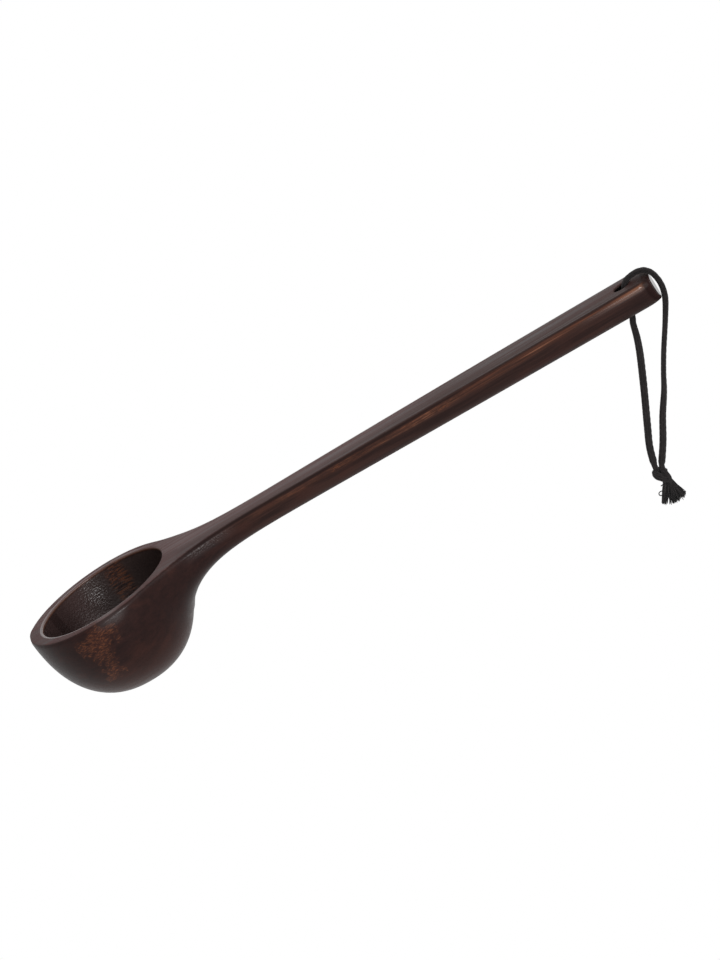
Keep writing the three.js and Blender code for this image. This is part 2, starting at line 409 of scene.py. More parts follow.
@dataclass(frozen=True)
class StainedBamboo:
    """Bamboo board under a dark stain and a satin lacquer. Sizes are in millimetres."""

    stance: Stance
    hole_at: float
    cavity: Cavity = Cavity()
    name: str = "stained_bamboo"
    mouth_radius: float = 40.3
    strip_width: float = 6.5
    strip_shift: float = 14.5
    shoulder_from: Spot = (74.0, 124.0)
    deep: Colour = (0.0110, 0.0050, 0.0046, 1)
    stain: Colour = (0.0230, 0.0090, 0.0076, 1)
    red_stain: Colour = (0.0460, 0.0160, 0.0115, 1)
    handle_stain: Colour = (0.0400, 0.0175, 0.0135, 1)
    # Paler, greyer tint that paints the sheen and light inside the bowl.
    hollow_painted_sheen: Colour = (0.0410, 0.0275, 0.0250, 1)
    # Pale red: partly stain, partly painted sheen on the flat top and inside the bowl.
    rosy_stain_and_sheen: Colour = (0.1180, 0.0660, 0.0640, 1)
    # Thin stain, and the painted glow of the lit shoulders.
    thin_stain_and_glow: Colour = (0.1150, 0.0430, 0.0240, 1)
    # Bare lines, and painted glints along the lit shoulders.
    bare_line_and_glint: Colour = (0.2400, 0.1050, 0.0600, 1)
    # Pale fibre flecks, partly painted glints.
    fleck_and_glint: Colour = (0.1500, 0.0520, 0.0230, 1)
    hole_shade: Colour = (0.001, 0.0006, 0.0006, 1.0)
    sheen_tint: Colour = (1.0, 0.90, 0.90, 1)
    ior: float = 1.2
    coat_ior: float = 1.45
    coat_roughness: float = 0.25
    specular_level: float = 0.5
    sealed_end: bool = False

    def material(self) -> bpy.types.Material:
        """Makes the finish.

        Returns:
            The material, which reads the ladle's own frame from the row frame.
        """
        material, tree = new_material(self.name)
        surface = BambooSurface(tree, self)
        relief = surface.relief()
        inputs = {
            "Base Color": surface.colour(), "Roughness": surface.roughness(), "IOR": self.ior,
            "Specular IOR Level": self.specular_level, "Specular Tint": self.sheen_tint, "Normal": relief,
            "Coat Weight": surface.coat(), "Coat Roughness": self.coat_roughness, "Coat IOR": self.coat_ior,
        }
        if not self.sealed_end:
            inputs["Coat Normal"] = relief
        shader = tree.add("ShaderNodeBsdfPrincipled", inputs)
        tree.add("ShaderNodeOutputMaterial", {"Surface": shader.outputs[0]})
        return material


class BambooSurface:
    """The bamboo's colour, gloss and relief, worked out in the ladle's own frame in millimetres.

    There x runs along the handle from the middle of the bowl's mouth, y across it and z up from the top.
    """

    def __init__(self, tree: Nodes, finish: StainedBamboo) -> None:
        """Finds the place on the ladle.

        Args:
            tree: The material's nodes.
            finish: The finish's sizes and colours.
        """
        self.tree = tree
        self.finish = finish
        stance = finish.stance
        coordinates = tree.add("ShaderNodeTexCoord").outputs
        placed = {
            "Vector": coordinates["Object"], "Location": stance.mouth, "Rotation": stance.turn,
            "Scale": (MM, MM, MM),
        }
        self.local = tree.add("ShaderNodeMapping", placed, vector_type="TEXTURE").outputs[0]
        self.x, self.y, self.z = tree.add("ShaderNodeSeparateXYZ", {0: self.local}).outputs
        self.beside = tree.math("ABSOLUTE", self.y)
        self.radius = tree.flat_length(self.x, self.y)
        faced = {0: coordinates["Normal"], 1: stance.along}
        self.facing = tree.add("ShaderNodeVectorMath", faced, operation="DOT_PRODUCT").outputs["Value"]
        self.end_grain = tree.ramp(tree.math("ABSOLUTE", self.facing), 0.5, 0.95)
        self.lay_grain()
        self.mark_places()

    def lay_grain(self) -> None:
        """Lays streaks, fine lines and fibres along the grain, and clouds of stain."""
        tree = self.tree
        drift = tree.noise_vector(tree.stretched(self.local, (0.014, 0.05, 0.05)), 1.0, 1.0, 0.5)
        grain = tree.moved(self.local, drift, (0.0, 3.0, 3.0))
        self.streak = tree.grained(grain, (0.010, 0.42, 0.42), 4.0, 0.62)
        self.line = tree.grained(grain, (0.012, 1.35, 1.35), 2.0, 0.55)
        self.fibre = tree.grained(self.local, (0.06, 2.6, 2.6), 2.0, 0.6)
        self.cloud = tree.grained(self.local, (0.05, 0.11, 0.11), 2.0, 0.5)

    def mark_places(self) -> None:
        """Marks the places that several parts of the finish ask for, each 1 inside and 0 outside."""
        tree, x, y, z = self.tree, self.x, self.y, self.z
        self.top = tree.ramp(z, -0.5, -0.1)
        self.hollow = self.find_hollow()
        self.near_edge = tree.product(tree.ramp(y, -9.5, -12.5), tree.ramp(x, *self.finish.shoulder_from))
        self.nose = tree.product(
            tree.ramp(x, 342.0, 349.0), tree.ramp(self.beside, 11.5, 9.5), tree.ramp(z, -4.5, -3.0)
        )
        # Painted shade on the near corner of the handle's end.
        self.corner = tree.product(tree.ramp(self.facing, 0.25, 0.6), tree.ramp(x, 341.0, 347.0))
        self.neck = tree.product(
            tree.window(x, (52.0, 64.0), (92.0, 76.0)), tree.window(z, (-8.0, -4.5), (-1.2, -2.0))
        )
        self.polished = tree.product(
            tree.ramp(x, 300.0, 345.0), tree.window(z, (-4.8, -3.4), (-1.2, -2.4)),
            tree.ramp(self.beside, 9.5, 11.5),
        )

    def find_hollow(self) -> Socket:
        """Tells the space for water from the outside by the distance to the cavity's own surface.

        Returns:
            A socket that is 1 on the cavity's wall and 0 elsewhere.
        """
        tree, cavity = self.tree, self.finish.cavity
        out = tree.math("DIVIDE", self.radius, cavity.radius)
        down = tree.math("DIVIDE", tree.math("ABSOLUTE", self.z), cavity.depth)
        level = tree.total(*(tree.math("POWER", part, cavity.fullness) for part in (out, down)))
        return tree.product(tree.ramp(level, 1.2, 1.1), tree.ramp(self.z, -0.8, -3.0))

    def colour(self) -> Socket:
        """Lays the stain in layers, with painted shade, sheen and glints among them, from the plain board to
        its darkest edges.

        Returns:
            The colour's socket.
        """
        tree, finish = self.tree, self.finish
        calm = tree.mix(tree.ramp(self.x, 40.0, 120.0, 0.6, 1.0), NOISE_MIDDLE, self.streak)
        # Painted bounce light: the bowl's outside redder towards its bottom.
        low = tree.product(tree.ramp(self.z, -22.0, -48.0), tree.opposite(self.hollow))
        layers = [
            (tree.ramp(calm, 0.36, 0.64, 0.75, 0.0), finish.deep),
            (tree.ramp(self.cloud, 0.50, 0.75, 0.0, 0.42), finish.red_stain),
            *self.inside(),
            (tree.product(self.end_grain, 0.55), finish.deep),
            *self.worn_and_lit_shoulders(),
            *self.hole_shade_and_worn_rim(),
            # Painted bounce light from below on the lower bowl.
            (tree.product(low, 0.55), finish.red_stain),
            # Painted sheen on the flat top, partly red stain.
            (self.rosy_sheen_top(), finish.rosy_stain_and_sheen),
            *self.flecks_and_glints(),
            (tree.ramp(self.fibre, 0.3, 0.7, 0.24, 0.0), BLACK),
            *self.dark_and_shaded_edges(),
        ]
        plain = tree.tint(tree.ramp(self.x, 60.0, 106.0), finish.stain, finish.handle_stain)
        body = tree.laid(plain, layers)
        return self.pores(body) if finish.sealed_end else body

    def inside(self) -> list[Layer]:
        """The bowl's inside: a paler, greyer tint, rosier toward the nose, that paints the sheen and light
        inside the bowl, and its strips of bamboo side by side.

        Returns:
            The layers, lowest first.
        """
        tree, finish = self.tree, self.finish
        shifted = tree.math("ADD", self.y, finish.strip_shift)
        strip = tree.math("FLOOR", tree.math("DIVIDE", shifted, finish.strip_width))
        tone = tree.add("ShaderNodeTexWhiteNoise", {"W": strip}, noise_dimensions="1D").outputs["Value"]
        return [
            # Painted sheen and light: the inside drawn paler and greyer, and rosier toward the nose.
            (tree.product(self.hollow, 0.85), finish.hollow_painted_sheen),
            (tree.product(self.hollow, tree.ramp(self.x, -10.0, -30.0, 0.0, 0.35)), finish.rosy_stain_and_sheen),
            (tree.product(self.hollow, tree.ramp(tone, 0.1, 0.7, 0.55, 0.0)), finish.deep),
        ]

    def from_hole(self) -> Socket:
        """0 in and round the cord's hole, and 1 away from it."""
        across = self.tree.math("SUBTRACT", self.x, self.finish.hole_at)
        return self.tree.ramp(self.tree.flat_length(across, self.y), 6.5, 8.5)

    def worn_and_lit_shoulders(self) -> list[Layer]:
        """The orange-brown stripe along the handle's upper shoulders: painted glow and highlight where light
        catches them, broken into lines of thin stain, and brightest as a painted highlight toward the end.

        Returns:
            The layers, lowest first.
        """
        tree, finish, x = self.tree, self.finish, self.x
        upper = tree.total(self.z, tree.ramp(x, 220.0, 280.0, 0.0, -0.4))
        lower = tree.total(self.z, tree.ramp(x, 230.0, 320.0, 6.0, 4.6))
        shoulder = tree.product(
            tree.ramp(upper, -0.7, -1.8), tree.ramp(lower, 0.0, 3.4), self.from_hole()
        )
        dash = tree.grained(self.local, (0.30, 1.7, 1.7), 2.0, 0.6)
        spell = tree.grained(self.local, (0.045, 0.25, 0.25), 1.0, 0.5)
        # Painted glow where light catches the shoulders, broken into lines of thin stain.
        lit_band = tree.product(
            shoulder,
            tree.ramp(x, *finish.shoulder_from),
            tree.highest(tree.ramp(dash, 0.42, 0.60, 0.45, 1.0), tree.ramp(x, 190.0, 270.0, 0.0, 0.9)),
            tree.highest(tree.ramp(spell, 0.42, 0.56, 0.55, 1.1), tree.ramp(x, 220.0, 260.0, 0.0, 1.0)),
        )
        line = tree.mix(tree.ramp(x, 120.0, 210.0, 0.4, 1.0), NOISE_MIDDLE, self.line)
        # Painted highlight: the shoulders' bright orange-brown end.
        lit_end = tree.product(
            shoulder, tree.ramp(x, 318.0, 350.0, 0.0, 0.65), tree.ramp(self.beside, 8.0, 11.0)
        )
        return [
            (tree.product(lit_band, tree.ramp(line, 0.36, 0.62, 0.18, 1.0)), finish.thin_stain_and_glow),
            (tree.product(lit_band, tree.ramp(line, 0.60, 0.68, 0.0, 0.75)), finish.bare_line_and_glint),
            (lit_end, finish.bare_line_and_glint),
        ]

    def hole_shade_and_worn_rim(self) -> list[Layer]:
        """The painted shade inside the cord's hole, and the thin stain on the bowl's inner rim.

        Returns:
            The layers, lowest first.
        """
        tree, finish = self.tree, self.finish
        # Painted shade: near-black inside the cord's hole.
        painted_hole_shade = tree.product(tree.opposite(self.from_hole()), tree.ramp(self.z, -0.5, -1.4))
        off_rim = tree.math("ABSOLUTE", tree.math("SUBTRACT", self.radius, finish.mouth_radius))
        rim = tree.product(
            tree.ramp(off_rim, 1.6, 0.5), tree.window(self.z, (-1.9, -1.0), (-0.05, -0.35)), 0.65
        )
        return [(painted_hole_shade, finish.hole_shade), (rim, finish.thin_stain_and_glow)]

    def rosy_sheen_top(self) -> Socket:
        """The pale red on the flat top, partly red stain and partly painted sheen, the top's grazing gloss
        painted into its colour; streaky, strongest at its far side and at the neck.

        Returns:
            Their share.
        """
        tree, x = self.tree, self.x
        return tree.product(
            tree.ramp(self.streak, 0.35, 0.65, 0.3, 0.8),
            tree.highest(tree.ramp(self.y, -9.0, 9.0, 0.3, 1.15), tree.ramp(x, 70.0, 40.0, 0.0, 0.6)),
            tree.ramp(x, 140.0, 240.0, 2.0, 0.68),
            tree.opposite(tree.product(self.near_edge, 0.8)),
            self.top,
        )

    def flecks_and_glints(self) -> list[Layer]:
        """The pale fibre ends that show where a joint of the cane is cut; on the bowl and inside it they are
        brightened into painted glints, where light catches the fibres.

        Returns:
            The layers, lowest first.
        """
        tree, finish, local = self.tree, self.finish, self.local
        patches = (
            ((-4.0, -44.0, -10.5), (15.0, 26.0, 13.0)),
            ((-6.5, -40.0, -26.0), (7.5, 26.0, 12.0)),
            ((-9.5, -38.0, -31.0), (6.5, 26.0, 8.0)),
            ((222.0, 0.0, -3.6), (8.0, 30.0, 3.0)),
            ((153.0, 0.0, -3.0), (6.0, 30.0, 2.4)),
        )
        ragged = {0: tree.noise_vector(local, 0.16, 3.0, 0.65), 1: (NOISE_MIDDLE,) * 3}
        off = tree.add("ShaderNodeVectorMath", ragged, operation="SUBTRACT").outputs[0]
        on_bowl = tree.ramp(self.x, 60.0, 80.0, 1.0, 0.0)
        torn = {0: on_bowl, 4: local, 5: tree.moved(local, off, (26.0, 0.0, 20.0))}
        place = tree.add("ShaderNodeMix", torn, data_type="VECTOR").outputs[1]
        shown = tree.product(
            tree.highest(*(tree.patch(place, *patch) for patch in patches)),
            tree.ramp(self.cloud, 0.30, 0.52, 0.45, 1.0),
        )
        jittered = tree.moved(local, tree.noise_vector(local, 0.22, 1.0, 0.5), (4.0, 2.0, 2.4))
        strokes = tree.grained(jittered, (0.5, 0.5, 2.6), 1.0, 0.5)
        fibres = tree.grained(local, (0.2, 0.2, 1.1), 1.0, 0.5)
        inner = tree.patch(local, (0.5, 38.0, -12.0), (9.5, 16.0, 20.0))
        inner_shown = tree.ramp(inner, 0.05, 0.7)
        # Pale strokes, painted brighter as glints where light catches the fibres on the bowl.
        pale = tree.highest(
            tree.product(tree.ramp(strokes, 0.48, 0.62), tree.ramp(shown, 0.05, 0.6)),
            tree.product(tree.ramp(fibres, 0.48, 0.60), inner_shown),
        )
        return [
            (tree.product(tree.highest(shown, inner), 0.55), finish.red_stain),
            (tree.product(tree.ramp(fibres, 0.46, 0.36, 0.0, 0.7), inner_shown), finish.deep),
            (tree.product(pale, 0.62), finish.fleck_and_glint),
        ]

    def dark_and_shaded_edges(self) -> list[Layer]:
        """Darker tones round the handle's end, on its rounded top and low on its sides; painted shade on the
        end's near corner; and a painted dark reflection just under the top's edges.

        Returns:
            The layers, lowest first.
        """
        tree, deep = self.tree, self.finish.deep
        dipped = tree.product(tree.ramp(self.x, 318.0, 346.0, 0.0, 0.6), tree.ramp(self.z, -4.6, -6.6))
        # Painted dark reflection just under the top's edges, from the neck along the handle.
        painted_edge_shade = tree.product(
            tree.window(self.z, (-0.2, -0.6), (-2.1, -1.3)),
            tree.window(self.x, (48.0, 60.0), (250.0, 190.0)),
            0.75,
        )
        shares = (tree.product(self.nose, 0.85), tree.product(self.corner, 0.9), dipped, painted_edge_shade)
        return [(share, deep) for share in shares]

    def pores(self, body: Socket) -> Socket:
        """Lays the cut ends of the fibres over the handle's sawn end.

        Args:
            body: The colour so far.

        Returns:
            The new colour's socket.
        """
        tree, finish = self.tree, self.finish
        spread = {"Vector": tree.stretched(self.local, (0.1, 1.1, 1.5)), "Scale": 1.0}
        cells = tree.add("ShaderNodeTexVoronoi", spread).outputs["Distance"]
        cloud = tree.noise(self.local, 0.3, 2.0, 0.5)
        open_cells = tree.product(tree.ramp(cells, 0.15, 0.5), tree.ramp(cloud, 0.3, 0.7, 0.4, 1.0))
        return tree.tint(self.end_grain, body, tree.tint(open_cells, finish.deep, finish.stain))

    def relief(self) -> Socket:
        """Raises the fibres a little, and the lacquer's lumps inside the bowl and at the neck.

        Returns:
            The bumped normal's socket.
        """
        tree = self.tree
        peel = tree.noise(self.local, 0.86, 0.8, 0.5)
        pocked = tree.product(self.hollow, tree.ramp(self.x, 18.0, -6.0, 0.08, 0.27))
        lumpy = tree.highest(pocked, tree.product(self.neck, 0.5), 0.04)
        flat = tree.ramp(self.top, 0.0, 1.0, 1.0, 0.05)
        height = tree.total(tree.product(self.fibre, 0.07), tree.product(peel, lumpy, flat))
        bump = tree.add("ShaderNodeBump", {"Strength": 0.8, "Distance": 0.0008, "Height": height})
        return bump.outputs[0]

    def roughness(self) -> Socket:
        """How matt the surface is: the top by its streaks, the sides by their height.

        Returns:
            The roughness's socket.
        """
        tree, x = self.tree, self.x
        side = tree.total(
            tree.mix(tree.ramp(self.z, -5.0, -16.0), 0.40, tree.ramp(x, 60.0, 115.0, 0.38, 0.55)),
            tree.ramp(tree.total(self.streak, self.fibre), 0.7, 1.3, -0.05, 0.05),
            tree.product(tree.highest(self.nose, self.corner), 0.3),
        )
        top = tree.total(
            tree.ramp(self.streak, 0.36, 0.62, 0.34, 0.60),
            tree.ramp(x, 60.0, 30.0, 0.0, 0.12),
            tree.product(self.near_edge, 0.2),
        )
        return tree.mix(self.top, side, top)

    def coat(self) -> Socket:
        """Where the lacquer lies thick enough to shine.

        Returns:
            The coat's share.
        """
        tree, x, z = self.tree, self.x, self.z
        if self.finish.sealed_end:
            return tree.highest(self.polished, tree.ramp(self.facing, 0.90, 0.995))
        inside = tree.product(
            self.hollow, tree.ramp(x, 25.0, 0.0, 0.45, 0.95), tree.ramp(z, -22.0, -10.0, 0.35, 1.0)
        )
        lip = tree.product(
            tree.ramp(self.radius, 41.7, 41.2), tree.ramp(z, -1.6, -0.8), tree.ramp(x, 30.0, 12.0)
        )
        under_rim = tree.patch(self.local, (11.0, -46.0, -2.5), (15.0, 8.0, 6.0))
        return tree.highest(
            inside, tree.product(self.neck, 0.38), tree.product(lip, 0.8), self.polished,
            tree.product(under_rim, 0.5),
        )


@dataclass(frozen=True)
class BlackCotton:
    """Matt black braided cotton, darker in the braid's grooves as painted shade."""

    name: str = "black_cotton"
    dark: Colour = (0.0026, 0.0021, 0.0022, 1)
    pale: Colour = (0.0215, 0.0172, 0.0175, 1)
    yarn_scale: float = 1900.0
    mottle_scale: float = 160.0
    fuzz_height: float = 0.0002

    def material(self) -> bpy.types.Material:
        """Makes the finish.

        Returns:
            The material, with yarn mottling in the row frame.
        """
        material, tree = new_material(self.name)
        place = tree.add("ShaderNodeTexCoord").outputs["Object"]
        yarn = tree.noise(place, self.yarn_scale, 3.0, 0.6)
        mottle = tree.noise(place, self.mottle_scale, 2.0, 0.5)
        ridge = tree.add("ShaderNodeAttribute", attribute_name=RIDGE).outputs["Fac"]
        # Painted shade: the braid's grooves drawn darker by ridge height; on frayed yarns the same value is
        # each yarn's own tone.
        share = tree.product(
            tree.ramp(yarn, 0.30, 0.65, 0.35, 1.0), tree.ramp(mottle, 0.3, 0.7, 0.6, 1.0),
            tree.ramp(ridge, 0.25, 0.95),
        )
        bump = tree.add("ShaderNodeBump", {"Strength": 0.5, "Distance": self.fuzz_height, "Height": yarn})
        inputs = {
            "Base Color": tree.tint(share, self.dark, self.pale), "Roughness": 0.92,
            "Specular IOR Level": 0.25, "Sheen Weight": 0.08, "Sheen Roughness": 0.5,
            "Normal": bump.outputs[0],
        }
        shader = tree.add("ShaderNodeBsdfPrincipled", inputs)
        tree.add("ShaderNodeOutputMaterial", {"Surface": shader.outputs[0]})
        return material


@dataclass
class LadleBody:
    """The bowl, neck and handle, milled from three glued boards. Sizes are in millimetres."""

    stance: Stance
    cavity: Cavity = Cavity()
    bowl_radius: float = 47.0
    bowl_offset: float = 1.4
    bowl_depth: float = 56.7
    bowl_fullness: float = 2.3
    lip_round: float = 1.0
    crown_round: float = 2.2
    crown_from_degrees: float = 65.0
    mouth_room: float = 1.4
    handle_end: float = 352.0
    waist_at: float = 110.0
    waist_half_width: float = 11.1
    waist_depth: float = 14.2
    end_half_width: float = 13.5
    grip_swell: float = 1.3
    end_depth: float = 16.6
    handle_fullness: float = 3.0
    edge_round: float = 2.4
    edge_share: float = 0.25
    end_round_length: float = 7.0
    end_round_drop: float = 3.2
    end_round_rise: float = 0.5
    end_corner: float = 7.5
    end_corner_length: float = 8.0
    end_facing: float = 0.45
    flare_width: float = 26.9
    flare_width_at: float = 16.0
    flare_width_run: float = 36.8
    flare_depth: float = 21.0
    flare_depth_at: float = 39.0
    flare_depth_run: float = 16.1
    neck_fullness: float = 2.3
    neck_start: float = 12.0
    neck_end: float = 96.0
    bend_end: float = 150.0
    crease_softness: float = 1.6
    top_board: float = 19.4
    lower_board: float = 18.65
    hole_radius: float = 4.3
    hole_from_end: float = 16.0
    hole_ease: float = 1.2
    top_shares: Spot = (0.35, 0.8)
    nose_angle: float = 0.02
    nose_stations: int = 44
    neck_stations: int = 82
    bend_stations: int = 22
    handle_stations: int = 30
    end_stations: int = 14
    edge_steps: int = 6
    side_steps: int = 96
    round_steps: int = 144
    mouth_steps: int = 16
    cavity_steps: int = 60
    hole_steps: int = 6
    cutter_lift: float = 0.02
    margin: float = 12.0
    smooth_degrees: float = 38.0
    pieces: dict[Board, bpy.types.Object] = field(default_factory=dict)

    @property
    def hole_at(self) -> float:
        """Where the cord's hole stands along the ladle."""
        return self.handle_end - self.hole_from_end

    def bowl_section(self, x: float) -> Section | None:
        """The bowl's outside at a station.

        Args:
            x: The station along the ladle.

        Returns:
            The section, or None past the bowl.
        """
        along = abs(x + self.bowl_offset) / self.bowl_radius
        if along >= 1:
            return None
        depth = self.bowl_depth * (1 - along**self.bowl_fullness) ** (1 / self.bowl_fullness)
        return Section(self.bowl_radius * math.sqrt(1 - along**2), depth, self.bowl_fullness)

    def handle_section(self, x: float) -> Section | None:
        """The handle and its flare at a station, with the handle's end rounded off.

        Args:
            x: The station along the ladle.

        Returns:
            The section, or None before the neck.
        """
        if x < self.neck_start:
            return None
        along = (x - self.waist_at) / (self.handle_end - self.waist_at)
        wider = math.exp(-(((x - self.flare_width_at) / self.flare_width_run) ** 2))
        deeper = math.exp(-max(0.0, x - self.flare_depth_at) / self.flare_depth_run)
        swell = 4 * self.grip_swell * max(0.0, along) * (1 - along)
        rounding = self.end_rounding(x, self.end_round_length)
        corner = self.end_rounding(x, self.end_corner_length)
        return Section(
            lerp(self.waist_half_width, self.end_half_width, along) + swell + self.flare_width * wider
            - self.end_corner * corner,
            lerp(self.waist_depth, self.end_depth, along) + self.flare_depth * deeper
            - self.end_round_drop * rounding - self.end_round_rise * corner,
            lerp(self.handle_fullness, self.neck_fullness, deeper),
        )

    def end_rounding(self, x: float, length: float) -> float:
        """How far the handle's end is rounded off at a station, from 0 to 1, over a length."""
        along = (x - self.handle_end + length) / length
        return 1 - math.sqrt(1 - min(1.0, max(0.0, along)) ** 2)

    def reach(self, x: float, angle: float) -> float:
        """How far the outside lies from the middle of the flat top, with a soft crease at the neck.

        Args:
            x: The station along the ladle.
            angle: The direction below the top.

        Returns:
            The distance in millimetres.
        """
        sections = [s for s in (self.bowl_section(x), self.handle_section(x)) if s]
        reaches = [s.reach(angle) for s in sections]
        if len(reaches) == 1:
            return reaches[0]
        gap = abs(reaches[0] - reaches[1]) / self.crease_softness
        return max(reaches) + self.crease_softness * math.log1p(math.exp(-gap))

    def outline(self, x: float) -> list[Vector]:
        """One closed outline across the ladle.

        Args:
            x: The station along the ladle.

        Returns:
            Points in metres, from the flat top round one edge, the underside and the other edge.
        """
        top = -self.end_round_drop * self.end_rounding(x, self.end_round_length)
        half_width = self.reach(x, 0.0)
        depth = self.reach(x, QUARTER_TURN)
        edge = min(self.edge_round, half_width * self.edge_share, depth * self.edge_share)
        first = math.atan2(edge, half_width)
        side = self.reach(x, first) * math.cos(first)
        half = [(share * (side - edge), top) for share in self.top_shares]
        for turn in quarter_turn(self.edge_steps)[:-1]:
            half.append((side - edge + edge * math.sin(turn), top - edge + edge * math.cos(turn)))
        under = []
        for i in range(self.side_steps + 1):
            angle = lerp(first, math.pi - first, i / self.side_steps)
            reach = self.reach(x, angle)
            under.append((reach * math.cos(angle), top - reach * math.sin(angle)))
        mirrored = [(-y, z) for y, z in reversed(half)]
        return [Vector((x, y, z)) * MM for y, z in [*half, *under, *mirrored]]

    def stations(self) -> list[float]:
        """Where the outlines lie along the ladle, close together where it bends most.

        Returns:
            Places in millimetres, from the bowl's nose to the handle's end.
        """
        middle, straight_end = -self.bowl_offset, self.handle_end - self.end_round_length
        shares = [i / self.nose_stations for i in range(self.nose_stations)]
        nose = [lerp(self.nose_angle, QUARTER_TURN, share) for share in shares]
        end = [self.end_round_length * math.sin(turn) for turn in quarter_turn(self.end_stations)]
        return [
            *(middle - self.bowl_radius * math.cos(turn) for turn in nose),
            *np.linspace(middle, self.neck_end, self.neck_stations, endpoint=False),
            *np.linspace(self.neck_end, self.bend_end, self.bend_stations, endpoint=False),
            *np.linspace(self.bend_end, straight_end, self.handle_stations, endpoint=False),
            *(straight_end + further for further in end),
        ]

    def model_outside(self) -> bpy.types.Object:
        """Models the blank's outside: a ring extruded from station to station, closed at both ends.

        Returns:
            The blank.
        """
        rings = [self.outline(x) for x in self.stations()]
        bpy.ops.mesh.primitive_circle_add(vertices=len(rings[0]), radius=self.bowl_radius * MM)
        blank = named("ladle_blank")
        with editing(blank):
            bpy.ops.mesh.select_all(action="SELECT")
            mesh = bmesh.from_edit_mesh(blank.data)
            lane = mesh.verts.layers.int.new("lane")
            for i, vertex in enumerate(mesh.verts):
                vertex[lane] = i
            self.lay_ring(blank, rings[0])
            for ring in rings[1:]:
                bpy.ops.mesh.extrude_region_move()
                self.lay_ring(blank, ring)
            bpy.ops.mesh.edge_face_add()
            bpy.ops.mesh.select_all(action="DESELECT")
            mesh = bmesh.from_edit_mesh(blank.data)
            for edge in mesh.edges:
                edge.select_set(edge.is_boundary)
            bpy.ops.mesh.edge_face_add()
            face_outwards()
        return blank

    @staticmethod
    def lay_ring(blank: bpy.types.Object, ring: list[Vector]) -> None:
        """Moves the selected ring of vertices onto an outline.

        Args:
            blank: The piece in edit mode.
            ring: The outline's points, one for each lane.
        """
        mesh = bmesh.from_edit_mesh(blank.data)
        lane = mesh.verts.layers.int["lane"]
        for vertex in mesh.verts:
            if vertex.select:
                vertex.co = ring[vertex[lane]]
        bmesh.update_edit_mesh(blank.data)

    def turned(self, name: str, profile: list[Spot], at: float) -> bpy.types.Object:
        """Models a turned cutter: a point extruded along a profile, then spun about the vertical.

        Args:
            name: The cutter's name.
            profile: Radius and height in millimetres, from axis to axis.
            at: Where the axis stands along the ladle.

        Returns:
            The cutter.
        """
        bpy.ops.mesh.primitive_plane_add(size=MM)
        cutter = named(name)
        with editing(cutter):
            bpy.ops.mesh.select_all(action="SELECT")
            bpy.ops.mesh.merge(type="CENTER")
            points = [Vector((at + radius, 0.0, height)) * MM for radius, height in profile]
            bpy.ops.transform.translate(value=points[0])
            for a, b in zip(points, points[1:]):
                bpy.ops.mesh.extrude_region_move(TRANSFORM_OT_translate={"value": b - a})
            bpy.ops.mesh.select_all(action="SELECT")
            bpy.ops.mesh.spin(
                steps=self.round_steps, angle=FULL_TURN, center=(at * MM, 0.0, 0.0), axis=(0.0, 0.0, 1.0)
            )
            bpy.ops.mesh.select_all(action="SELECT")
            bpy.ops.mesh.remove_doubles(threshold=WELD_DISTANCE)
            face_outwards()
        return cutter

    def model_cavity(self) -> bpy.types.Object:
        """Models the space for water as a cutter: an egg-shaped hollow with an eased mouth.

        Returns:
            The cutter.
        """
        change = math.radians(self.crown_from_degrees)
        ease = []
        for turn in quarter_turn(self.mouth_steps):
            tight, wide = min(turn, change), max(turn, change)
            crown_out = self.crown_round * (math.cos(change) - math.cos(wide))
            crown_up = self.crown_round * (math.sin(wide) - math.sin(change))
            ease.append((
                self.lip_round * (1 - math.cos(tight)) + crown_out,
                self.lip_round * math.sin(tight) + crown_up,
            ))
        mouth_width, mouth_depth = ease[-1]
        radius, depth, power = self.cavity.radius, self.cavity.depth, 2 / self.cavity.fullness
        profile = [(0.0, -depth)]
        for angle in quarter_turn(self.cavity_steps)[1:-1]:
            height = -depth * math.cos(angle) ** power
            if height < -mouth_depth * self.mouth_room:
                profile.append((radius * math.sin(angle) ** power, height))
        profile += [(radius + out, self.cutter_lift - mouth_depth + up) for out, up in ease]
        profile += [(radius + mouth_width, self.margin), (0.0, self.margin)]
        return self.turned("bowl_cavity", profile, 0.0)

    def model_hole(self) -> bpy.types.Object:
        """Models the cord's hole as a cutter with eased mouths.

        Returns:
            The cutter.
        """
        depth = self.reach(self.hole_at, QUARTER_TURN)
        ease = [
            (self.hole_radius + self.hole_ease * (1 - math.cos(turn)), self.hole_ease * (1 - math.sin(turn)))
            for turn in quarter_turn(self.hole_steps)
        ]
        wide = self.hole_radius + self.hole_ease
        below, above = -depth - self.margin, self.margin
        lower = [(radius, inset - depth - self.cutter_lift) for radius, inset in reversed(ease)]
        upper = [(radius, self.cutter_lift - inset) for radius, inset in ease]
        profile = [(0.0, below), (wide, below), *lower, *upper, (wide, above), (0.0, above)]
        return self.turned("cord_hole", profile, self.hole_at)

    def board_spans(self) -> dict[Board, Spot]:
        """The height of each board's top and bottom face.

        Returns:
            The two heights in millimetres, by board.
        """
        first = -self.top_board
        second = first - self.lower_board
        return {
            Board.RIM_AND_HANDLE: (self.margin, first),
            Board.BOWL_WALL: (first, second),
            Board.BOWL_BASE: (second, -self.bowl_depth - self.margin),
        }

